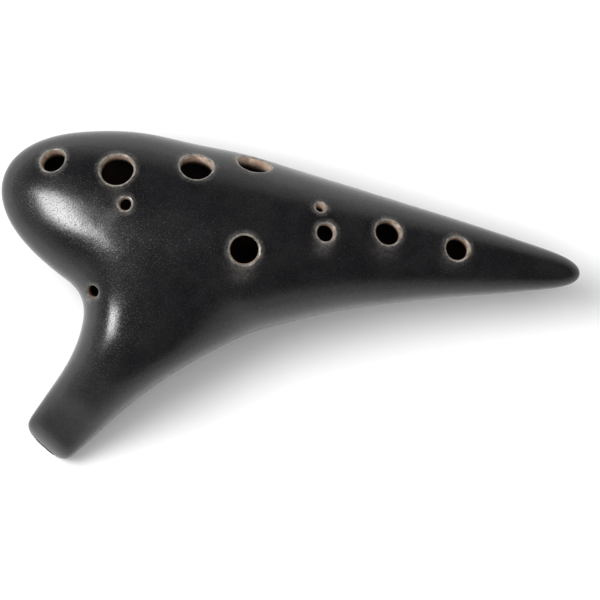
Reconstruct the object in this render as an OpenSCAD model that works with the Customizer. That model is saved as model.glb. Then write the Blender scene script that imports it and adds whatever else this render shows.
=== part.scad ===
// Twelve hole alto ocarina, transverse pattern, fired and glazed clay.
// It lies on its back: X runs towards the tail, Y towards the head's upper edge, Z out of the
// front, and Z = 0 is the surface that it rests on.

/* [Body] */
// Thickness of the clay wall around the air chamber
wall = 4.5; // [3.8:0.1:5.5]
// Half thickness over half width, at the head end
head_depth = 0.72; // [0.7:0.01:0.8]
// Half thickness over half width, at the tail end
tail_depth = 1.0; // [0.9:0.01:1.1]
// How softly the stem runs into the body, in square millimetres of squared height
blend = 420; // [250:10:600]
// X where the air chamber ends, inside the solid tail
chamber_tail = 80; // [70:1:84]

/* [Stem] */
// Direction of the stem, from the body to the mouth end, in degrees from +X
stem_angle = -132; // [-134:0.5:-130]
// Length of the stem from its root inside the body to the mouth end
stem_length = 74.5; // [72:0.5:74.5]
// Half thickness of the stem at the mouth end
tip_depth = 6.2; // [5.6:0.1:7]
// Half thickness that the stem gains for each millimetre towards its root
stem_taper = 0.195; // [0.185:0.005:0.2]
// How far the stem falls towards the back for each millimetre of its straight stretch
stem_droop = 0.502; // [0.49:0.002:0.506]
// How far the mouth end leans, in degrees: its back edge reaches out past its front edge
mouth_lean = 20; // [14:1:22]

/* [Finger holes] */
// Diameter of the four head holes, from the head end
head_hole_d = [7.9, 10.8, 10.5, 11];
// Diameter of the four tail holes, from the stem to the tail
tail_hole_d = [9.2, 5.6, 8.2, 7.4];
// Diameter of the sub-hole beside the second head hole, and of the one beside the second tail hole
sub_hole_d = [3.9, 2.9];
// Diameter of the left and right thumb holes
thumb_hole_d = [9.4, 8.6];
// Diameter of the strap hole
strap_hole_d = 4; // [3:0.1:4.4]
// Lean of the strap hole from upright, in degrees: it comes out further in at the back
strap_lean = 10; // [8:1:11]

/* [Windway] */
// Width of the windway at the mouth end
slot_w_in = 10; // [9:0.1:10.2]
// Width of the windway where it meets the window
slot_w_out = 8.5; // [7.5:0.1:9]
// Height of the windway at the mouth end
slot_h_in = 1.8; // [1.6:0.1:2]
// Height of the windway where it meets the window
slot_h_out = 1.2; // [0.9:0.1:1.4]
// Slope of the windway, which rises on its way in, in degrees
slot_slope = 15.5; // [15:0.5:16]
// Length of the window between the windway and the labium's edge
window_l = 7; // [6:0.1:8]
// Slope of the labium's ramp, in degrees
ramp_slope = 35; // [32:1:40]

/* [Hidden] */
$fn = 64;

// Colours of the glazed clay and of the bare clay
glaze = [0.13, 0.13, 0.13];
clay = [0.72, 0.55, 0.47];

// Where the outline's own zero lies in the part's frame, so that the box is centred on the origin
centre = [-0.1, -0.4];
// Height of the seam above the surface that the part rests on
seam_z = 25.25;

// The body's plan: half width and centre Y at stations 16 mm apart, along a cubic B-spline
body_start = -112;
body_pitch = 16;
body_plan = [[25, 38], [28, 34.5], [30, 31], [32.5, 26], [34, 22], [32.5, 18], [30.5, 17],
    [25.5, 16.5], [21, 16], [17.5, 14.5], [14, 13], [11, 11], [7.5, 9], [4.5, 7], [1.5, 5.5]];
// The rounded ends of the body: X of each end and how fast the body grows from it
head_x = -95.5;
head_round = 23;
tail_x = 95.3;
tail_round = 3.7;
// X where the body's depth ratio starts to change, and the length of the change
depth_from = -70;
depth_run = 110;

// The stem's root, and its plan: half width and sideways shift at stations 12 mm apart
root = [-33, 5];
stem_start = -22;
stem_pitch = 12;
stem_plan = [[52, -11], [44, -9.5], [35.5, -8.5], [27, -6], [19.5, -3], [14, -0.5], [11.5, 0],
    [10.5, 0], [9, 0], [9, 0], [9, 0]];
// How square the stem's section is, and how it rounds off at the mouth end and inside the body
stem_power = 2.5;
mouth_round = 1.1;
root_end = -6;
root_round = 8;
// Length over which the lean of the mouth end fades out
lean_run = 25;
// Places along the stem where its fall begins and where it has become a straight slope, and
// how far to each side of the stem the fall is whole and then fades out
droop_start = 20;
droop_straight = 50;
droop_side = 20;
droop_fade = 26;

// Point inside the outline that the surface's rays start from
hub = [-30, 8];
// Corners of a rough polygon around the outline: the rays are spread evenly along each side
guide = [[98, 12], [98, -2], [60, 0], [0, -8], [-30, -20], [-60, -46], [-73, -58], [-80, -54],
    [-86, -48], [-92, -43], [-74, -22], [-70, -5], [-88, 14], [-100, 30], [-94, 46], [-66, 56],
    [-34, 52], [5, 42], [50, 26]];
rays_per_side = 8;
outer_rings = 12;
inner_rings = 9;

// The chamber: how softly it ends in the tail, in the stem and around the strap hole
chamber_tail_round = 6;
chamber_stem_end = 43;
chamber_stem_round = 3;
web_strength = 300;
web_radius = 6.5;

// The V groove in the seam that the slip fills
groove_depth = 1.2;
groove_reach = 5;

// Plan positions of the holes
head_holes = [[-77.9, 44.2], [-56.6, 41], [-30.7, 42.1], [-11.9, 43.4]];
tail_holes = [[-15, 14.5], [11.4, 20.3], [31.8, 20.6], [54.5, 15.3]];
sub_holes = [[-53.8, 29.5], [9.7, 28.6]];
thumb_holes = [[-38, 30], [14, 12]];
strap_hole = [-64.7, 1.1];
// Height of the strap hole's middle above the seam where it comes out, its direction in plan from
// there to its other end, and the middle of the web of solid clay around it
strap_z = 11.8;
strap_turn = 35;
web_middle = [-62, 2.9];
bore_out = 8;
bore_in = 11;

// The windway's insert: its width, its reach to the front and to the back of the slot's middle,
// and the clay that covers its end at the mouth
insert_w = 11.2;
insert_front = 3;
insert_back = 1.7;
insert_cover = 3.4;
// How far the slot's middle lies below the seam at the mouth end
slot_below = 2;
// Place along the stem where the windway opens into the window
window_start = 42;
// The labium: length and slope of the bevel on its chamber side, and length of its ramp
bevel = 6;
bevel_slope = 18;
ramp = 14;
// The cut in the back wall for the window and the labium: its length, and its end in the chamber
notch_l = 20;
notch_top = -7.5;
// A length that reaches right through the part
deep = 30;

function smooth(t) = let(s = max(0, min(1, t))) s * s * s * (s * (6 * s - 15) + 10);

function decay(t) = exp(-max(-3, min(30, t)));

// Cubic B-spline through the control values c, at station number t
function spline(c, t) =
    let(i = max(1, min(len(c) - 3, floor(t))), f = t - i)
    (pow(1 - f, 3) * c[i - 1] + (3 * pow(f, 3) - 6 * f * f + 4) * c[i]
        + (-3 * pow(f, 3) + 3 * f * f + 3 * f + 1) * c[i + 1] + pow(f, 3) * c[i + 2]) / 6;

// Larger of a and b, with a rounded corner between them
function soft_max(a, b) =
    let(k = max(0, blend - abs(a - b)) / blend) max(a, b) + k * k * k * blend / 6;

function along(p) = (p - root) * [cos(stem_angle), sin(stem_angle)];
function across(p) = (p - root) * [-sin(stem_angle), cos(stem_angle)];
function stem_point(u, v) =
    root + u * [cos(stem_angle), sin(stem_angle)] + v * [-sin(stem_angle), cos(stem_angle)];

// Squared half thickness of the body at plan point p, taken in by t all round: negative outside
function body_sq(p, t, tail, tail_r) =
    let(
        plan = spline(body_plan, (p.x - body_start) / body_pitch),
        ratio = head_depth + (tail_depth - head_depth) * smooth((p.x - depth_from) / depth_run),
        w = plan[0] - t,
        h = plan[0] * ratio - t,
        ends = (1 - decay((p.x - head_x - t) / head_round)) * (1 - decay((tail - p.x) / tail_r)),
        s = (p.y - plan[1]) / w
    )
    h * h * (ends - s * s);

// Squared half thickness of the stem at plan point p
function stem_sq(p, t, end, end_r) =
    let(
        u = along(p),
        plan = spline(stem_plan, (max(-10, min(stem_length + 5, u)) - stem_start) / stem_pitch),
        w = plan[0] - t,
        h = tip_depth + stem_taper * (stem_length - u) - t,
        s = abs(across(p) - plan[1]) / w
    )
    h * h * (1 - pow(s, stem_power) - decay((end - u) / end_r) - decay((u - root_end) / root_round));

function outer_sq(p) =
    soft_max(body_sq(p, 0, tail_x, tail_round), stem_sq(p, 0, stem_length, mouth_round));

function inner_sq(p) =
    soft_max(
        body_sq(p, wall, chamber_tail, chamber_tail_round),
        stem_sq(p, wall, chamber_stem_end, chamber_stem_round)
    ) - web_strength * exp(-pow(norm(p - web_middle) / web_radius, 2));

// Distance from the hub to the edge of the outer or inner outline, along direction d
function edge(d, inner, lo = 0, hi = 135, n = 20) =
    let(mid = (lo + hi) / 2, q = inner ? inner_sq(hub + mid * d) : outer_sq(hub + mid * d))
    n == 0 ? mid : q > 0 ? edge(d, inner, mid, hi, n - 1) : edge(d, inner, lo, mid, n - 1);

function unit(v) = v / norm(v);

// Direction of every ray, counter-clockwise
function rays() = [
    for (i = [len(guide) - 1 : -1 : 0], k = [0 : rays_per_side - 1])
        let(a = guide[i], b = guide[(i + len(guide) - 1) % len(guide)])
        unit(a + (b - a) * k / rays_per_side - hub)
];
ray_count = len(guide) * rays_per_side;

// Places of the rings between the hub and the edge, closer together towards the edge
function ring(j, rings) = sin(90 * j / rings);

// Height of the seam at plan point p, which falls along the stem
function seam(p) =
    let(
        run = droop_straight - droop_start,
        t = max(0, min(1, (along(p) - droop_start) / run)),
        fall = run * (t * t * t - t * t * t * t / 2) + max(0, along(p) - droop_straight)
    )
    -stem_droop * fall * (1 - smooth((abs(across(p)) - droop_side) / droop_fade));

// Point of a surface at plan point p, h above the seam. The mouth end leans back.
function raised(p, h) =
    let(k = smooth(1 - (stem_length - along(p)) / lean_run) * tan(mouth_lean) * h)
    [p.x - k * cos(stem_angle), p.y - k * sin(stem_angle), seam(p) + h];

// One closed half of the ocarina: side is 1 for the front and -1 for the back.
// Its points are the hub's outer point, the outer rings, the groove, the inner rings and the
// hub's inner point, and every ring has one point on each ray.
module half_shell(side) {
    dirs = rays();
    outer = [for (d = dirs) edge(d, false)];
    inner = [for (d = dirs) edge(d, true)];
    outer_points = [
        for (j = [1 : outer_rings], i = [0 : ray_count - 1])
            let(p = hub + outer[i] * ring(j, outer_rings) * dirs[i])
            raised(p, j == outer_rings ? 0 : side * sqrt(max(0, outer_sq(p))))
    ];
    groove = [
        for (j = [1 : -1 : -1], i = [0 : ray_count - 1])
            groove_point(dirs[i], inner[i], outer[i], j, j == 0 ? side * groove_depth : 0)
    ];
    inner_points = [
        for (j = [inner_rings : -1 : 1], i = [0 : ray_count - 1])
            let(p = hub + inner[i] * ring(j, inner_rings) * dirs[i])
            raised(p, j == inner_rings ? 0 : side * sqrt(max(0, inner_sq(p))))
    ];
    points = concat(
        [raised(hub, side * sqrt(outer_sq(hub)))], outer_points, groove, inner_points,
        [raised(hub, side * sqrt(inner_sq(hub)))]
    );
    rings = outer_rings + 3 + inner_rings;
    last = rings * ray_count + 1;
    sides = [
        for (j = [0 : rings - 2], i = [0 : ray_count - 1])
            let(a = 1 + j * ray_count, k = (i + 1) % ray_count)
            each [[a + i, a + k, a + ray_count + k], [a + i, a + ray_count + k, a + ray_count + i]]
    ];
    caps = [
        for (i = [0 : ray_count - 1])
            let(k = (i + 1) % ray_count, a = last - ray_count)
            each [[0, 1 + k, 1 + i], [last, a + i, a + k]]
    ];
    faces = concat(sides, caps);
    polyhedron(points, side > 0 ? faces : [for (f = faces) [f[0], f[2], f[1]]]);
}

// Point of the groove between the chamber's edge and the outside, h above the seam. The
// groove's middle is at s = 0, its outer lip at 1 and its inner lip at -1.
function groove_point(d, inner, outer, s, h) =
    let(reach = min(groove_reach, (outer - inner) / 2))
    raised(hub + (inner + reach * (1 + s / 2)) * d, h);

function skin_height(p, side) = seam(p) + side * sqrt(outer_sq(p));

// Exact drill for a finger hole, square to the surface at plan point p
module drill(p, d, side) {
    step = 0.1;
    dx = skin_height(p + [step, 0], side) - skin_height(p - [step, 0], side);
    dy = skin_height(p + [0, step], side) - skin_height(p - [0, step], side);
    n = side * unit([-dx, -dy, 2 * step]);
    translate([p.x, p.y, skin_height(p, side)])
        rotate([0, acos(n.z), atan2(n.y, n.x)])
            translate([0, 0, -bore_in])
                cylinder(d = d, h = bore_in + bore_out);
}

module strap_drill() {
    translate([strap_hole.x, strap_hole.y, strap_z])
        rotate([0, -strap_lean, strap_turn])
            translate([0, 0, -2 * deep])
                cylinder(d = strap_hole_d, h = 3 * deep);
}

// Puts its children in the windway's frame: X out of the mouth end, Z towards the front
module on_windway() {
    p = stem_point(stem_length, 0);
    translate([p.x, p.y, seam(p) - slot_below])
        rotate([0, slot_slope, stem_angle])
            children();
}

// Puts its children in the stem's frame: X towards the mouth end, Z towards the front
module on_stem() {
    translate([root.x, root.y, 0])
        rotate([0, 0, stem_angle])
            children();
}

insert_end = -(stem_length - window_start) / cos(slot_slope);

// Slab of the insert between the heights bottom and top in the windway's frame
module insert_slab(bottom, top) {
    on_windway()
        translate([insert_end, -insert_w / 2, bottom])
            cube([-insert_end - insert_cover, insert_w, top - bottom]);
}

module insert_space() {
    insert_slab(-insert_back, insert_front);
}

module place() {
    translate([-centre.x, -centre.y, seam_z])
        children();
}

module front_shell() {
    color(glaze)
        place()
            difference() {
                half_shell(1);
                for (i = [0 : 3]) {
                    drill(head_holes[i], head_hole_d[i], 1);
                    drill(tail_holes[i], tail_hole_d[i], 1);
                }
                for (i = [0 : 1])
                    drill(sub_holes[i], sub_hole_d[i], 1);
                strap_drill();
                insert_space();
            }
}

module back_shell() {
    color(glaze)
        place()
            difference() {
                half_shell(-1);
                for (i = [0 : 1])
                    drill(thumb_holes[i], thumb_hole_d[i], -1);
                strap_drill();
                insert_space();
                slot();
                notch();
            }
}

// Straight cut through the back wall that holds the labium and leaves the window
module notch() {
    on_stem()
        translate([window_start - notch_l, -slot_w_out / 2, -deep])
            cube([notch_l, slot_w_out, deep + notch_top]);
}

// Its edge is level with the middle of the windway's inner end
module labium() {
    edge_x = window_start - window_l;
    tip = stem_point(stem_length, 0);
    rise = (stem_length - edge_x) * tan(slot_slope);
    edge_z = seam(tip) - slot_below + rise - (slot_h_in - slot_h_out) / 2;
    color(glaze)
        place()
            intersection() {
                half_shell(-1);
                on_stem()
                    translate([0, slot_w_out / 2, 0])
                        rotate([90, 0, 0])
                            linear_extrude(slot_w_out)
                                polygon([
                                    [edge_x, edge_z],
                                    [edge_x - bevel, edge_z + bevel * tan(bevel_slope)],
                                    [edge_x - bevel, notch_top],
                                    [window_start - notch_l, notch_top],
                                    [window_start - notch_l, edge_z - ramp * sin(ramp_slope)],
                                    [edge_x - ramp * cos(ramp_slope), edge_z - ramp * sin(ramp_slope)]
                                ]);
            }
}

// Tapering air slot, from outside the mouth end to inside the window. Its back is flat, and can
// lie some way further back.
module slot(further = 0) {
    z = -slot_h_in / 2;
    back = z - further;
    a = slot_w_in / 2;
    b = slot_w_out / 2;
    mouth = 3;
    window = insert_end - 1;
    on_windway()
        polyhedron(
            [[mouth, a, back], [mouth, -a, back], [window, -b, back], [window, b, back],
                [mouth, a, z + slot_h_in], [mouth, -a, z + slot_h_in],
                [window, -b, z + slot_h_out], [window, b, z + slot_h_out]],
            [[3, 2, 1, 0], [4, 5, 6, 7], [1, 5, 4, 0], [2, 6, 5, 1], [3, 7, 6, 2], [0, 4, 7, 3]]
        );
}

module windway_block() {
    color(clay)
        place()
            difference() {
                insert_slab(-slot_h_in / 2, insert_front);
                slot(further = 1);
            }
}

module windway_roof() {
    color(clay)
        place()
            insert_slab(-insert_back, -slot_h_in / 2);
}

// Two triangles of one side of the slip, split the same way as the groove that they lie on
function slip_faces(a, b, c, d, front) = front ? [[a, b, c], [a, c, d]] : [[a, b, d], [b, c, d]];

// Ring of clay slip that fills the V grooves of both halves. The strap hole goes through it.
module seam_slip() {
    dirs = rays();
    outer = [for (d = dirs) edge(d, false)];
    inner = [for (d = dirs) edge(d, true)];
    section = [[1, 0], [0, 1], [-1, 0], [0, -1]];
    points = [
        for (i = [0 : ray_count - 1], c = section)
            groove_point(dirs[i], inner[i], outer[i], c.x, c.y * groove_depth)
    ];
    faces = [
        for (i = [0 : ray_count - 1], c = [0 : 3])
            let(k = (i + 1) % ray_count, e = (c + 1) % 4)
            each slip_faces(4 * i + c, 4 * i + e, 4 * k + e, 4 * k + c, c < 2)
    ];
    color(clay)
        place()
            difference() {
                polyhedron(points, faces);
                strap_drill();
            }
}

front_shell();
back_shell();
seam_slip();
windway_block();
windway_roof();
labium();
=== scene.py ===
"""Looks of a twelve hole alto ocarina: fired clay under a satin charcoal glaze.

Both shells and the labium are meshed again from the CAD model's own shape formulas, so that their
holes have rounded rims and the seam between the halves closes without a step. The windway's plug
and slab, and the slip in the seam, keep their CAD meshes.

Shapes are worked out in millimetres, in the outline's own plan coordinates. A level point is
(x, y, h), with h the height above the seam. raised() gives its real place.
"""

import math

import bmesh
import bpy
import numpy as np
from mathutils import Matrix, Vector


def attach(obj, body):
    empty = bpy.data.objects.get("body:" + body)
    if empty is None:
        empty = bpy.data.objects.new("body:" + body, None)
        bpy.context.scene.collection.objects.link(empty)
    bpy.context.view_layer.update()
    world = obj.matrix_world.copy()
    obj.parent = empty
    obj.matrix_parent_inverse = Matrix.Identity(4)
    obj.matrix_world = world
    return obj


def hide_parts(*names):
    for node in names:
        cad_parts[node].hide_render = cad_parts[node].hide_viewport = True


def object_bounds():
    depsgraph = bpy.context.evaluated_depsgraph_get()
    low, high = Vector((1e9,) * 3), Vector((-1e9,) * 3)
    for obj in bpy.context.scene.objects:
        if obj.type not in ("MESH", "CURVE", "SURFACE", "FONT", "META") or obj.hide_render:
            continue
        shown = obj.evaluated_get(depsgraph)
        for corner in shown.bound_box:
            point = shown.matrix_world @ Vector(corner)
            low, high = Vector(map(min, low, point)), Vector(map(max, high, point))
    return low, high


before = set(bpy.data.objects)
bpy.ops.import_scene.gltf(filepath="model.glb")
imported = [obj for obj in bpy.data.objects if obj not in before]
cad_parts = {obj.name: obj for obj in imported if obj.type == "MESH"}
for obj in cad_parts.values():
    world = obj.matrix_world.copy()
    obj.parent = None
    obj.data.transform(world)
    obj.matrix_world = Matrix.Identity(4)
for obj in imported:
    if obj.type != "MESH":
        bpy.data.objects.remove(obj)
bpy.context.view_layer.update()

MM = 0.001

# Body and stem, as in the CAD model
WALL = 4.5
HEAD_DEPTH, TAIL_DEPTH = 0.72, 1.0
BLEND = 420
STEM_ANGLE = math.radians(-132)
STEM_LENGTH = 74.5
TIP_DEPTH, STEM_TAPER, STEM_DROOP = 6.2, 0.195, 0.502
MOUTH_LEAN = math.radians(20)
CENTRE = (-0.1, -0.4)
SEAM_Z = 25.25
BODY_START, BODY_PITCH = -112, 16
BODY_HALF = (25, 28, 30, 32.5, 34, 32.5, 30.5, 25.5, 21, 17.5, 14, 11, 7.5, 4.5, 1.5)
BODY_MIDDLE = (38, 34.5, 31, 26, 22, 18, 17, 16.5, 16, 14.5, 13, 11, 9, 7, 5.5)
HEAD_X, HEAD_ROUND, TAIL_X, TAIL_ROUND = -95.5, 23, 95.3, 3.7
DEPTH_FROM, DEPTH_RUN = -70, 110
ROOT = (-33, 5)
STEM_START, STEM_PITCH = -22, 12
STEM_HALF = (52, 44, 35.5, 27, 19.5, 14, 11.5, 10.5, 9, 9, 9)
STEM_MIDDLE = (-11, -9.5, -8.5, -6, -3, -0.5, 0, 0, 0, 0, 0)
STEM_POWER, MOUTH_ROUND, ROOT_END, ROOT_ROUND = 2.5, 1.1, -6, 8
LEAN_RUN = 25
DROOP_START, DROOP_STRAIGHT, DROOP_SIDE, DROOP_FADE = 20, 50, 20, 26

# Air chamber
CHAMBER_TAIL, CHAMBER_TAIL_ROUND = 80, 6
CHAMBER_STEM_END, CHAMBER_STEM_ROUND = 43, 3
WEB_STRENGTH, WEB_RADIUS, WEB_MIDDLE = 300, 6.5, (-62, 2.9)

# Holes: plan position and diameter
HEAD_HOLES = ((-77.9, 44.2, 7.9), (-56.6, 41, 10.8), (-30.7, 42.1, 10.5), (-11.9, 43.4, 11))
TAIL_HOLES = ((-15, 14.5, 9.2), (11.4, 20.3, 5.6), (31.8, 20.6, 8.2), (54.5, 15.3, 7.4))
SUB_HOLES = ((-53.8, 29.5, 3.9), (9.7, 28.6, 2.9))
THUMB_HOLES = ((-38, 30, 9.4), (14, 12, 8.6))
STRAP_HOLE, STRAP_Z = (-64.7, 1.1, 4), 11.8
STRAP_LEAN, STRAP_TURN = math.radians(10), math.radians(35)
BORE_IN = 11

# Windway, window and labium
SLOT_W_IN, SLOT_W_OUT, SLOT_H_IN, SLOT_H_OUT = 10, 8.5, 1.8, 1.2
SLOT_SLOPE = math.radians(15.5)
SLOT_BELOW = 2
INSERT_W, INSERT_FRONT, INSERT_BACK, INSERT_COVER = 11.2, 3, 1.7, 3.4
WINDOW_START, WINDOW_L = 42, 7
NOTCH_L, NOTCH_TOP = 20, -7.5
RAMP_SLOPE, BEVEL_SLOPE, BEVEL = math.radians(35), math.radians(18), 6

# Least clay over the windway's plug and slab. The CAD model has 0.65 mm at its thinnest, which
# tears open on the grid.
INSERT_SKIN = 1.0

# Size of the soft edge that a hole's rim and the slot's lip get
RIM, LIP = 1.1, 0.4

# Meshing: pitch of the grid and its reach from the middle along each axis, and how far from an edge
# the mesh is made finer, once per entry. Only edges within SKIN_REACH of the outside count, and the
# slot's count from SLOT_LEAD further out.
PITCH = 0.8
GRID_REACH = (98, 57, 26)
FINE_REACH = (2.2, 1.1)
SKIN_REACH, SLOT_LEAD = 1, 0.5

# The labium's own grid: its reach in plan from the middle of the cut, and its lowest height
LABIUM_REACH, LABIUM_LOW = 12, -22

# The bare lip round the slot: how far its middle lies behind the slot's, its half height, and how
# far it goes in. Deeper inside the same box the clay gets painted shade. The strap hole's bare rim
# is narrower than the others by STRAP_RIM_LESS.
LIP_BEHIND, LIP_HALF_HEIGHT, LIP_DEPTH = 0.5, 1.1, 3
STRAP_RIM_LESS = 0.5

# Camera in metres: width of its sensor in millimetres, height over the seam and width of the view
SENSOR, CAMERA_HEIGHT, VIEW_WIDTH = 36, 1.2, 0.198
FLOOR_SIZE = 6


# ---------------------------------------------------------------- shape formulas


def smooth(t):
    s = np.clip(t, 0, 1)
    return s**3 * (s * (6 * s - 15) + 10)


def decay(t):
    return np.exp(-np.clip(t, -3, 30))


def spline(values, t):
    """Cubic B-spline through the control values, at station numbers t."""
    c = np.array(values, float)
    i = np.clip(np.floor(t).astype(int), 1, len(c) - 3)
    f = t - i
    return (
        (1 - f) ** 3 * c[i - 1]
        + (3 * f**3 - 6 * f**2 + 4) * c[i]
        + (-3 * f**3 + 3 * f**2 + 3 * f + 1) * c[i + 1]
        + f**3 * c[i + 2]
    ) / 6


def soft_max(a, b, blend):
    k = np.maximum(0, blend - np.abs(a - b)) / blend
    return np.maximum(a, b) + k**3 * blend / 6


def stem_frame(x, y):
    """Distance along the stem from its root, and across it."""
    dx, dy = x - ROOT[0], y - ROOT[1]
    ca, sa = math.cos(STEM_ANGLE), math.sin(STEM_ANGLE)
    return dx * ca + dy * sa, dy * ca - dx * sa


def body_sq(x, y, inset, tail_x, tail_round):
    """Squared half thickness of the body, negative outside its outline."""
    t = (x - BODY_START) / BODY_PITCH
    half = spline(BODY_HALF, t)
    ratio = HEAD_DEPTH + (TAIL_DEPTH - HEAD_DEPTH) * smooth((x - DEPTH_FROM) / DEPTH_RUN)
    head = 1 - decay((x - HEAD_X - inset) / HEAD_ROUND)
    tail = 1 - decay((tail_x - x) / tail_round)
    s = (y - spline(BODY_MIDDLE, t)) / (half - inset)
    return (half * ratio - inset) ** 2 * (head * tail - s**2)


def stem_sq(x, y, inset, end, end_round):
    """Squared half thickness of the stem, negative outside its outline."""
    u, v = stem_frame(x, y)
    t = (np.clip(u, -10, STEM_LENGTH + 5) - STEM_START) / STEM_PITCH
    depth = TIP_DEPTH + STEM_TAPER * (STEM_LENGTH - u) - inset
    s = np.abs(v - spline(STEM_MIDDLE, t)) / (spline(STEM_HALF, t) - inset)
    ends = decay((end - u) / end_round) + decay((u - ROOT_END) / ROOT_ROUND)
    return depth**2 * (1 - s**STEM_POWER - ends)


def outer_sq(x, y):
    body = body_sq(x, y, 0, TAIL_X, TAIL_ROUND)
    return soft_max(body, stem_sq(x, y, 0, STEM_LENGTH, MOUTH_ROUND), BLEND)


def inner_sq(x, y):
    body = body_sq(x, y, WALL, CHAMBER_TAIL, CHAMBER_TAIL_ROUND)
    stem = stem_sq(x, y, WALL, CHAMBER_STEM_END, CHAMBER_STEM_ROUND)
    away = ((x - WEB_MIDDLE[0]) ** 2 + (y - WEB_MIDDLE[1]) ** 2) / WEB_RADIUS**2
    return soft_max(body, stem, BLEND) - WEB_STRENGTH * np.exp(-away)


def seam(x, y):
    """Height of the seam, which falls along the stem."""
    u, v = stem_frame(x, y)
    run = DROOP_STRAIGHT - DROOP_START
    t = np.clip((u - DROOP_START) / run, 0, 1)
    fall = run * (t**3 - t**4 / 2) + np.maximum(0, u - DROOP_STRAIGHT)
    return -STEM_DROOP * fall * (1 - smooth((np.abs(v) - DROOP_SIDE) / DROOP_FADE))


def raised(x, y, h):
    """Real place of a level point. The mouth end leans back."""
    u, _ = stem_frame(x, y)
    k = smooth(1 - (STEM_LENGTH - u) / LEAN_RUN) * math.tan(MOUTH_LEAN) * h
    return x - k * math.cos(STEM_ANGLE), y - k * math.sin(STEM_ANGLE), seam(x, y) + h


def surface_distance(square, x, y, h):
    """Distance from the surface h*h = square(x, y), negative inside. The 1 under the root keeps it
    finite where the slope is nil."""
    e = 0.05
    q = square(x, y)
    gx = (square(x + e, y) - square(x - e, y)) / (2 * e)
    gy = (square(x, y + e) - square(x, y - e)) / (2 * e)
    return (h * h - q) / np.sqrt(gx * gx + gy * gy + 4 * h * h + 1)


def skin_height(x, y, side):
    return float(seam(x, y) + side * np.sqrt(outer_sq(x, y)))


def drill(hole, side):
    """(centre on the skin, axis out of the clay, radius) of a hole square to the surface."""
    x, y, diameter = hole
    e = 0.1
    dx = skin_height(x + e, y, side) - skin_height(x - e, y, side)
    dy = skin_height(x, y + e, side) - skin_height(x, y - e, side)
    axis = side * np.array([-dx, -dy, 2 * e])
    return np.array([x, y, skin_height(x, y, side)]), axis / np.linalg.norm(axis), diameter / 2


BORES = [drill(hole, 1) for hole in HEAD_HOLES + TAIL_HOLES + SUB_HOLES]
BORES += [drill(hole, -1) for hole in THUMB_HOLES]


def bore_distance(place, bore):
    """Distance from a blind bore that reaches BORE_IN into the part, negative inside it."""
    centre, axis, radius = bore
    d = [place[i] - centre[i] for i in range(3)]
    out = sum(d[i] * axis[i] for i in range(3))
    off = np.sqrt(np.maximum(0, sum(c * c for c in d) - out * out))
    return np.maximum(off - radius, -out - BORE_IN)


def strap_distance(place):
    """Distance from the strap hole, which leans: its other end comes out further in."""
    down, out = math.cos(STRAP_LEAN), math.sin(STRAP_LEAN)
    axis = (-out * math.cos(STRAP_TURN), -out * math.sin(STRAP_TURN), down)
    d = (place[0] - STRAP_HOLE[0], place[1] - STRAP_HOLE[1], place[2] - STRAP_Z)
    along = sum(a * b for a, b in zip(d, axis))
    return np.sqrt(np.maximum(0, sum(c * c for c in d) - along * along)) - STRAP_HOLE[2] / 2


def windway_frame(place):
    """Coordinates of a real place in the windway's frame: out of the mouth, across, to the front."""
    ca, sa = math.cos(STEM_ANGLE), math.sin(STEM_ANGLE)
    x0, y0 = ROOT[0] + STEM_LENGTH * ca, ROOT[1] + STEM_LENGTH * sa
    u = (place[0] - x0) * ca + (place[1] - y0) * sa
    v = (place[1] - y0) * ca - (place[0] - x0) * sa
    w = place[2] - (seam(x0, y0) - SLOT_BELOW)
    cs, ss = math.cos(SLOT_SLOPE), math.sin(SLOT_SLOPE)
    return u * cs - w * ss, v, u * ss + w * cs


INSERT_END = -(STEM_LENGTH - WINDOW_START) / math.cos(SLOT_SLOPE)


def slot_distance(place):
    """Distance from the tapering air slot, negative inside it."""
    u, v, w = windway_frame(place)
    t = np.clip(u / INSERT_END, 0, 1)
    half_w = (SLOT_W_IN + (SLOT_W_OUT - SLOT_W_IN) * t) / 2
    height = SLOT_H_IN + (SLOT_H_OUT - SLOT_H_IN) * t
    bottom = -SLOT_H_IN / 2
    return np.maximum.reduce([np.abs(v) - half_w, bottom - w, w - bottom - height, INSERT_END - 1 - u])


def insert_distance(place):
    """Distance from the space that holds the windway's plug and slab, negative inside it."""
    u, v, w = windway_frame(place)
    across = np.abs(v) - INSERT_W / 2
    return np.maximum.reduce([across, w - INSERT_FRONT, -INSERT_BACK - w, u + INSERT_COVER, INSERT_END - u])


def notch_distance(place):
    """Distance from the straight cut for the window and the labium, negative inside it."""
    u, v = stem_frame(place[0], place[1])
    across = np.abs(v) - SLOT_W_OUT / 2
    return np.maximum.reduce([across, place[2] - NOTCH_TOP, u - WINDOW_START, WINDOW_START - NOTCH_L - u])


def soft_cut(solid, tool, size):
    """Solid with the tool's shape taken out, with a soft edge of that size."""
    t = np.maximum(0, 1 - np.abs(solid + tool) / size)
    return np.maximum(solid, -tool) + size / 4 * t * t


def wall_distance(x, y, h):
    """Distance from the plain clay wall, without its holes."""
    return np.maximum(surface_distance(outer_sq, x, y, h), -surface_distance(inner_sq, x, y, h))


def shell_distance(x, y, h):
    """Distance from both shells together, negative in the clay."""
    place = raised(x, y, h)
    d = wall_distance(x, y, h)
    for bore in BORES:
        d = soft_cut(d, bore_distance(place, bore), RIM)
    d = soft_cut(d, strap_distance(place), RIM)
    d = soft_cut(d, slot_distance(place), LIP)
    d = soft_cut(d, notch_distance(place), LIP)
    under_skin = surface_distance(outer_sq, x, y, h) + INSERT_SKIN
    return np.maximum(d, -np.maximum(insert_distance(place), under_skin))


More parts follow.
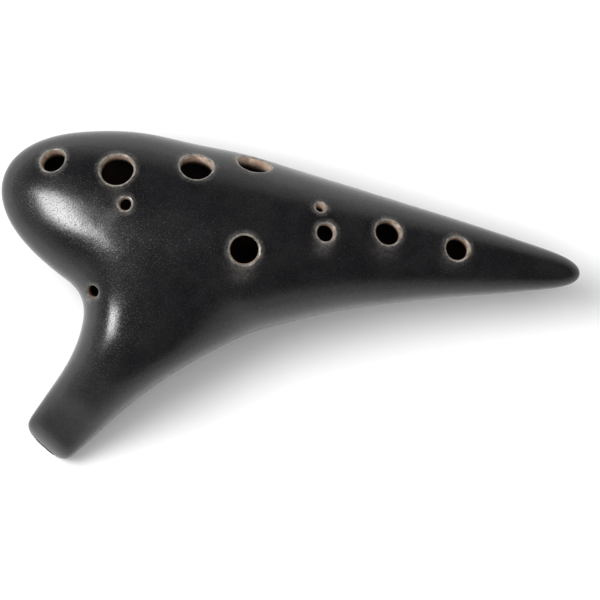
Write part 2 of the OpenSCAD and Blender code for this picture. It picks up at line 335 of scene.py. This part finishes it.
def labium_distance(x, y, h):
    """Distance from the labium: a wedge with its edge in the air jet, in the wall's own skin."""
    place = raised(x, y, h)
    u, v = stem_frame(place[0], place[1])
    tip_x = ROOT[0] + STEM_LENGTH * math.cos(STEM_ANGLE)
    tip_y = ROOT[1] + STEM_LENGTH * math.sin(STEM_ANGLE)
    edge_u = WINDOW_START - WINDOW_L
    rise = (STEM_LENGTH - edge_u) * math.tan(SLOT_SLOPE)
    edge_z = seam(tip_x, tip_y) - SLOT_BELOW + rise - (SLOT_H_IN - SLOT_H_OUT) / 2
    above = place[2] - edge_z
    ramp = -(above * math.cos(RAMP_SLOPE) + (edge_u - u) * math.sin(RAMP_SLOPE))
    top = above * math.cos(BEVEL_SLOPE) - (edge_u - u) * math.sin(BEVEL_SLOPE)
    block = np.minimum(top, u - edge_u + BEVEL)
    sides = np.abs(v) - SLOT_W_OUT / 2
    back = WINDOW_START - NOTCH_L - u
    d = np.maximum.reduce([ramp, block, sides, back, place[2] - NOTCH_TOP])
    return np.maximum(d, wall_distance(x, y, h))


# ---------------------------------------------------------------- meshing


def net_quads(solid):
    """Quads round a solid on a grid of nodes, outward, as flat numbers of the grid's cells."""
    unit = np.eye(3, dtype=int)
    quads = []
    for axis in range(3):
        low = np.take(solid, range(solid.shape[axis] - 1), axis)
        high = np.take(solid, range(1, solid.shape[axis]), axis)
        a, b = unit[(axis + 1) % 3], unit[(axis + 2) % 3]
        for change, turn in ((low & ~high, 1), (~low & high, -1)):
            at = np.argwhere(change)
            ring = np.stack([at, at - a, at - a - b, at - b], 1)[:, ::turn]
            quads.append(np.ravel_multi_index(ring.reshape(-1, 3).T, solid.shape).reshape(-1, 4))
    return np.concatenate(quads)


def without_crumbs(solid):
    """Solid without the lone grid nodes that no neighbour holds. The grid's own rim is empty."""
    held = np.zeros_like(solid)
    for axis in range(3):
        held |= np.roll(solid, 1, axis) | np.roll(solid, -1, axis)
    return solid & held


def mixed_cells(solid):
    """Marks the cells that hold some of the surface, at the flat number of each cell."""
    cells = np.zeros(solid.shape, int)
    corner = [slice(None, -1), slice(1, None)]
    inner = tuple([slice(None, -1)] * 3)
    for i in range(8):
        cells[inner] += solid[corner[i & 1], corner[i >> 1 & 1], corner[i >> 2]]
    return ((cells > 0) & (cells < 8)).ravel()


def slope(distance, p):
    """Distance and its gradient at points p."""
    e = 0.02
    gradient = np.empty_like(p)
    for axis in range(3):
        step = np.eye(3)[axis] * e
        gradient[:, axis] = (distance(*(p + step).T) - distance(*(p - step).T)) / (2 * e)
    return distance(*p.T), gradient


def settle(distance, p, flat, turns=2):
    """Moves points onto the surface. Flat points keep their height."""
    for _ in range(turns):
        d, gradient = slope(distance, p)
        gradient[flat, 2] = 0
        size = np.maximum(0.3, (gradient**2).sum(1))
        p = p - np.clip(d / size, -PITCH / 2, PITCH / 2)[:, None] * gradient
    return p


def relaxed(p, edges, flat):
    """Points drawn halfway to the mean of their neighbours. Flat points follow only flat ones."""
    a = np.concatenate([edges[:, 0], edges[:, 1]])
    b = np.concatenate([edges[:, 1], edges[:, 0]])
    use = ~flat[a] | flat[b]
    a, b = a[use], b[use]
    count = np.maximum(1, np.bincount(a, minlength=len(p)))
    mean = np.stack([np.bincount(a, p[b, i], len(p)) for i in range(3)], 1) / count[:, None]
    return p + 0.5 * (mean - p)


def net(distance, low, high, pitch, split):
    """Points and quad lists of a solid between two corners. With split, the solid is cut at h = 0
    into a front and a back that share the points along the cut."""
    size = [math.ceil((b - a) / pitch) + 1 for a, b in zip(low, high)]
    size[2] += size[2] % 2
    start = np.array([low[0], low[1], -(size[2] - 1) / 2 * pitch if split else low[2]])
    axes = [start[i] + pitch * np.arange(size[i]) for i in range(3)]
    solid = distance(axes[0][:, None, None], axes[1][None, :, None], axes[2][None, None, :]) < 0
    if split:
        middle = size[2] // 2
        parts = [solid.copy(), solid.copy()]
        parts[0][:, :, :middle] = False
        parts[1][:, :, middle:] = False
    else:
        parts = [solid]
    quads = [net_quads(without_crumbs(part)) for part in parts]
    cells, index = np.unique(np.concatenate(quads).ravel(), return_inverse=True)
    index = index.reshape(-1, 4)
    number = np.stack(np.unravel_index(cells, solid.shape), 1)
    p = start + (number + 0.5) * pitch
    flat = number[:, 2] == size[2] // 2 - 1 if split else np.zeros(len(p), bool)
    p[flat, 2] = 0
    skin = mixed_cells(solid)[cells]
    edges = np.concatenate([index[:, [i, (i + 1) % 4]] for i in range(4)])
    edges = np.unique(np.sort(edges, 1), axis=0)
    for _ in range(3):
        p = relaxed(p, edges, flat)
        p[skin] = settle(distance, p[skin], flat[skin])
    ends = np.cumsum([0] + [len(q) for q in quads])
    return p, [index[a:b] for a, b in zip(ends, ends[1:])]


def edge_reach(p):
    """How far points are from the nearest visible edge: a hole's rim, the slot or the window."""
    place = raised(*p.T)
    tools = [np.abs(bore_distance(place, bore)) for bore in BORES]
    tools += [np.abs(strap_distance(place)), np.abs(notch_distance(place))]
    tools += [slot_distance(place) - SLOT_LEAD]
    skin = np.abs(surface_distance(outer_sq, *p.T))
    return np.maximum(np.minimum.reduce(tools), skin - SKIN_REACH)


def refined(distance, p, quads):
    """The mesh with smaller faces near its visible edges, as points and faces."""
    mesh = bmesh.new()
    used, quads = np.unique(quads, return_inverse=True)
    verts = [mesh.verts.new(v) for v in p[used]]
    for q in quads.reshape(-1, 4):
        mesh.faces.new([verts[i] for i in q])
    for reach in FINE_REACH:
        mesh.verts.ensure_lookup_table()
        points = np.array([v.co for v in mesh.verts])
        near = edge_reach(points) < reach
        mesh.verts.index_update()
        edges = [e for e in mesh.edges if near[e.verts[0].index] and near[e.verts[1].index]]
        count = len(mesh.verts)
        bmesh.ops.subdivide_edges(mesh, edges=edges, cuts=1, use_grid_fill=True)
        mesh.verts.ensure_lookup_table()
        added = np.array([v.co for v in mesh.verts[count:]]).reshape(-1, 3)
        on_cut = np.abs(added[:, 2]) < 1e-6
        free = np.abs(distance(*added.T)) < PITCH / 5
        added[free] = settle(distance, added[free], on_cut[free])
        for v, co in zip(mesh.verts[count:], added):
            v.co = co
    bmesh.ops.triangulate(mesh, faces=[f for f in mesh.faces if len(f.verts) > 4])
    mesh.verts.index_update()
    points = np.array([v.co for v in mesh.verts])
    faces = [[v.index for v in f.verts] for f in mesh.faces]
    mesh.free()
    return points, faces


def real_normals(distance, p):
    """Unit normals of the surface at level points, in the real frame."""
    _, gradient = slope(distance, p)
    e = 0.01
    columns = []
    for axis in range(3):
        step = np.eye(3)[axis] * e
        ahead, behind = raised(*(p + step).T), raised(*(p - step).T)
        columns.append(np.stack([(a - b) / (2 * e) for a, b in zip(ahead, behind)], 1))
    jacobian = np.stack(columns, 2)
    normals = np.linalg.solve(jacobian.transpose(0, 2, 1), gradient[:, :, None])[:, :, 0]
    return normals / np.maximum(1e-9, np.linalg.norm(normals, axis=1))[:, None]


def piece(name, node, slot, distance, points, faces):
    """Mesh object from level points, which stands for a CAD node."""
    place = np.stack(raised(*points.T), 1) - [CENTRE[0], CENTRE[1], -SEAM_Z]
    mesh = bpy.data.meshes.new(name)
    mesh.from_pydata((place * MM).tolist(), [], faces)
    mesh.polygons.foreach_set("use_smooth", [True] * len(faces))
    mesh.normals_split_custom_set_from_vertices(real_normals(distance, points).tolist())
    for key, values in surface_masks(points).items():
        mesh.attributes.new(key, "FLOAT", "POINT").data.foreach_set("value", values.astype(np.float32))
    obj = bpy.data.objects.new(name, mesh)
    bpy.context.scene.collection.objects.link(obj)
    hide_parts(node)
    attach(obj, "root")
    return obj


# ---------------------------------------------------------------- where the glaze is thin or missing

# Pale patches where the glaze ran thin: hole, shift in plan, size and strength
THIN_PATCHES = (
    (TAIL_HOLES[0], (-0.8, -6.5), 3.8, 0.45),
    (TAIL_HOLES[1], (-0.8, -4.4), 3, 0.45),
    (TAIL_HOLES[2], (-1, -5), 4, 0.3),
    (TAIL_HOLES[3], (-2.5, -3.5), 3.6, 0.2),
    (SUB_HOLES[0], (-4.6, -3.6), 2, 0.45),
    (HEAD_HOLES[0], (0, -5), 3, 0.15),
    (HEAD_HOLES[1], (0, -7), 3, 0.2),
    (STRAP_HOLE, (-1.6, -2.6), 1.3, 0.9),
)


def surface_masks(points):
    """Values per point for the glaze: depth under the skin, distances from the holes' bores and
    from the slot, and the strength of the thin patches. The depth and the slot's distance also set
    where the bare clay gets painted shade."""
    place = raised(*points.T)
    out, across, up = windway_frame(place)
    high = np.abs(up + LIP_BEHIND) - LIP_HALF_HEIGHT
    lip = np.maximum.reduce([np.abs(across) - SLOT_W_IN / 2, high, -out - LIP_DEPTH])
    bores = [bore_distance(place, bore) for bore in BORES]
    thin = np.zeros(len(points))
    for hole, shift, size, strength in THIN_PATCHES:
        away = np.hypot(place[0] - hole[0] - shift[0], place[1] - hole[1] - shift[1]) / size
        thin += strength * np.exp(-(away**2)) * (points[:, 2] > 0)
    return {
        "depth": -surface_distance(outer_sq, *points.T),
        "rim": np.minimum.reduce(bores + [strap_distance(place) + STRAP_RIM_LESS]),
        "lip": lip,
        "thin": thin,
    }


# ---------------------------------------------------------------- materials


class Nodes:
    """Short calls for the nodes of one material."""

    def __init__(self, name):
        self.material = bpy.data.materials.new(name)
        self.material.use_nodes = True
        self.tree = self.material.node_tree
        self.shader = self.tree.nodes["Principled BSDF"]
        self.place = self.add("ShaderNodeTexCoord").outputs["Object"]

    def add(self, kind, **values):
        node = self.tree.nodes.new(kind)
        for key, value in values.items():
            setattr(node, key, value)
        return node

    def put(self, socket, value):
        if isinstance(value, bpy.types.NodeSocket):
            self.tree.links.new(value, socket)
        else:
            socket.default_value = value

    def noise(self, size_mm, detail=2.0, rough=0.5):
        """Noise with features of about that size, from 0 to 1."""
        node = self.add("ShaderNodeTexNoise")
        self.put(node.inputs["Vector"], self.place)
        node.inputs["Scale"].default_value = 1 / (size_mm * MM)
        node.inputs["Detail"].default_value = detail
        node.inputs["Roughness"].default_value = rough
        return node.outputs["Fac"]

    def math(self, operation, a, b=0.0):
        node = self.add("ShaderNodeMath", operation=operation)
        self.put(node.inputs[0], a)
        self.put(node.inputs[1], b)
        return node.outputs[0]

    def ramp(self, value, low, high, out_low=0.0, out_high=1.0):
        """value from low to high, as a soft step from out_low to out_high."""
        node = self.add("ShaderNodeMapRange", interpolation_type="SMOOTHSTEP")
        for socket, number in zip(node.inputs[:5], (value, low, high, out_low, out_high)):
            self.put(socket, number)
        return node.outputs[0]

    def mix(self, amount, a, b):
        node = self.add("ShaderNodeMix", data_type="RGBA")
        self.put(node.inputs["Factor"], amount)
        self.put(node.inputs["A"], a)
        self.put(node.inputs["B"], b)
        return node.outputs["Result"]

    def mask(self, name):
        return self.add("ShaderNodeAttribute", attribute_name=name).outputs["Fac"]

    def bump(self, height, distance_mm, strength=1.0, under=None):
        node = self.add("ShaderNodeBump")
        node.inputs["Strength"].default_value = strength
        node.inputs["Distance"].default_value = distance_mm * MM
        self.put(node.inputs["Height"], height)
        if under:
            self.put(node.inputs["Normal"], under)
        return node.outputs["Normal"]


def clay_colour(n, pale, dark):
    """Colour of bare fired clay, mottled and with dark grog specks."""
    colour = n.mix(n.ramp(n.noise(3, 4), 0.35, 0.65), pale, dark)
    return n.mix(n.ramp(n.noise(0.35, 1), 0.62, 0.72, 0, 0.5), colour, (0.16, 0.1, 0.07, 1))


def glaze_material():
    """Charcoal glaze over clay: thin and pale at the rims, missing in the holes and the chamber. Further
    in, the bare clay is painted almost black as painted shade.
    """
    n = Nodes("charcoal_glaze")
    grain = n.noise(0.42, 2)
    mottle = n.noise(9, 4, 0.6)
    ragged = n.math("MULTIPLY", n.math("SUBTRACT", n.noise(0.9, 3), 0.5), 1.1)

    colour = n.mix(n.ramp(mottle, 0.35, 0.7), (0.0045, 0.004, 0.0048, 1), (0.0085, 0.008, 0.009, 1))
    colour = n.mix(n.ramp(n.noise(26, 3), 0.48, 0.72, 0, 0.6), colour, (0.012, 0.0128, 0.0118, 1))
    colour = n.mix(n.ramp(grain, 0.55, 0.7, 0, 0.6), colour, (0.017, 0.017, 0.0165, 1))

    rim = n.math("ADD", n.mask("rim"), ragged)
    patches = n.math("MULTIPLY", n.mask("thin"), n.ramp(n.noise(1.2, 4, 0.7), 0.35, 0.65, 0.4, 1))
    colour = n.mix(patches, colour, (0.12, 0.112, 0.103, 1))
    halo = n.math("MULTIPLY", n.ramp(rim, 2.6, 0.9), n.ramp(n.noise(2.6, 3), 0.35, 0.65, 0.15, 0.5))
    colour = n.mix(halo, colour, (0.1, 0.097, 0.09, 1))
    ring = n.ramp(rim, 1.1, 0.45, 0, n.ramp(n.noise(2.1, 3), 0.35, 0.65, 0.4, 1))
    colour = n.mix(ring, colour, (0.25, 0.225, 0.19, 1))

    depth = n.math("ADD", n.mask("depth"), ragged)
    bare = n.math("MAXIMUM", n.ramp(depth, 0.45, 0.85), n.ramp(n.mask("lip"), 0.45, 0.2))
    clay = clay_colour(n, (0.6, 0.45, 0.35, 1), (0.33, 0.22, 0.16, 1))
    # Painted shade: deeper in the bores, on the chamber's wall and inside the slot, the bare clay is turned
    # almost black to stand in for the shade that falls there.
    inside = n.math("MAXIMUM", n.ramp(depth, 1.0, 3.8), n.ramp(n.mask("lip"), -0.35, -0.6))
    clay = n.mix(inside, clay, (0.02, 0.012, 0.009, 1))
    colour = n.mix(bare, colour, clay)

    n.put(n.shader.inputs["Base Color"], colour)
    gloss = n.ramp(n.noise(14, 3), 0.3, 0.7, 0.18, 0.23)
    gloss = n.math("ADD", gloss, n.ramp(grain, 0.52, 0.66, 0, 0.14))
    n.put(n.shader.inputs["Roughness"], n.ramp(bare, 0, 1, gloss, 0.85))
    n.put(n.shader.inputs["Specular IOR Level"], n.ramp(bare, 0, 1, 0.5, 0.15))
    wave = n.bump(n.noise(6, 2), 0.25, 0.3)
    n.put(n.shader.inputs["Normal"], n.bump(grain, 0.045, 0.5, wave))
    return n.material


def clay_material(name, pale, dark):
    """Bare fired clay, for the pieces that carry no glaze."""
    n = Nodes(name)
    n.put(n.shader.inputs["Base Color"], clay_colour(n, pale, dark))
    n.put(n.shader.inputs["Roughness"], n.ramp(n.noise(1.5, 3), 0.3, 0.7, 0.75, 0.92))
    n.put(n.shader.inputs["Normal"], n.bump(n.noise(0.4, 3), 0.08, 0.6))
    return n.material


def floor_material():
    """Matt white sweep."""
    n = Nodes("white_sweep")
    colour = n.mix(n.noise(60, 2), (0.86, 0.86, 0.86, 1), (0.88, 0.88, 0.88, 1))
    n.put(n.shader.inputs["Base Color"], colour)
    n.shader.inputs["Roughness"].default_value = 0.95
    n.shader.inputs["Specular IOR Level"].default_value = 0.1
    return n.material


# ---------------------------------------------------------------- the pieces

glaze = glaze_material()
grid_low = [-reach for reach in GRID_REACH]
points, (front, back) = net(shell_distance, grid_low, GRID_REACH, PITCH, split=True)
front_piece = piece(
    "front_glazed", "front_shell", "glazed_clay", shell_distance, *refined(shell_distance, points, front)
)
back_piece = piece(
    "back_glazed", "back_shell", "glazed_clay", shell_distance, *refined(shell_distance, points, back)
)

stem_x, stem_y = math.cos(STEM_ANGLE), math.sin(STEM_ANGLE)
mid_u = WINDOW_START - NOTCH_L / 2
mid = (ROOT[0] + mid_u * stem_x, ROOT[1] + mid_u * stem_y)
wedge_low = (mid[0] - LABIUM_REACH, mid[1] - LABIUM_REACH, LABIUM_LOW)
wedge_high = (mid[0] + LABIUM_REACH, mid[1] + LABIUM_REACH, 0)
points, (wedge,) = net(labium_distance, wedge_low, wedge_high, PITCH / 2, split=False)
labium_piece = piece("labium_wedge", "labium", "labium_clay", labium_distance, points, wedge.tolist())

for shown in (front_piece, back_piece, labium_piece):
    shown.data.materials.append(glaze)

plug_clay = clay_material("plug_clay", (0.66, 0.47, 0.38, 1), (0.5, 0.34, 0.26, 1))
slip_clay = clay_material("slip_clay", (0.6, 0.43, 0.34, 1), (0.46, 0.32, 0.25, 1))
cad_clays = {"windway_block": plug_clay, "windway_roof": plug_clay, "seam_slip": slip_clay}
for node, material in cad_clays.items():
    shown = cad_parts[node]
    shown.data.materials.clear()
    shown.data.materials.append(material)

# ---------------------------------------------------------------- stage, lights and camera


def area_light(name, azimuth, elevation, distance, width, height, power, aim=(0, 0, 0.02)):
    """Soft box that looks at aim from that direction. Azimuth is from +X towards +Y, and power is
    the radiance that the soft box shows."""
    power = power * math.pi * width * height
    a, e = math.radians(azimuth), math.radians(elevation)
    light = bpy.data.lights.new(name, "AREA")
    light.shape, light.size, light.size_y, light.energy = "RECTANGLE", width, height, power
    obj = bpy.data.objects.new(name, light)
    out = np.array([math.cos(e) * math.cos(a), math.cos(e) * math.sin(a), math.sin(e)])
    obj.location = np.array(aim) + out * distance
    obj.rotation_euler = (math.pi / 2 - e, 0, a + math.pi / 2)
    bpy.context.scene.collection.objects.link(obj)
    return obj


bpy.ops.mesh.primitive_plane_add(size=FLOOR_SIZE, location=(0, 0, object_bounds()[0][2]))
floor = bpy.context.object
floor.name = "floor"
floor.data.materials.append(floor_material())

key = area_light("key", 183, 43.5, 1.1, 0.54, 0.31, 24)
key.visible_diffuse = False
top = area_light("top", 155, 54, 1.7, 1.0, 0.9, 10.5)
ceiling = area_light("ceiling", 90, 89, 1.9, 2.6, 2.6, 1.3)
for light in (top, ceiling):
    light.visible_glossy = False

world = bpy.data.worlds.new("studio")
world.use_nodes = True
bpy.context.scene.world = world
tree = world.node_tree
up = tree.nodes.new("ShaderNodeSeparateXYZ")
tree.links.new(tree.nodes.new("ShaderNodeTexCoord").outputs["Generated"], up.inputs[0])
fade = tree.nodes.new("ShaderNodeMapRange")
fade.interpolation_type = "SMOOTHSTEP"
for name, number in (("From Min", 0.05), ("From Max", 0.5), ("To Min", 1.0), ("To Max", 0.12)):
    fade.inputs[name].default_value = number
tree.links.new(up.outputs["Z"], fade.inputs["Value"])
tree.links.new(fade.outputs[0], tree.nodes["Background"].inputs["Strength"])
tree.nodes["Background"].inputs["Color"].default_value = (0.85, 0.85, 0.86, 1)

camera = bpy.data.objects.new("camera", bpy.data.cameras.new("camera"))
camera.data.sensor_width = SENSOR
camera.data.lens = SENSOR * CAMERA_HEIGHT / VIEW_WIDTH
camera.location = (0.00307, -0.00125, CAMERA_HEIGHT + SEAM_Z * MM)
bpy.context.scene.collection.objects.link(camera)
bpy.context.scene.camera = camera

bpy.context.scene.view_settings.view_transform = "Standard"
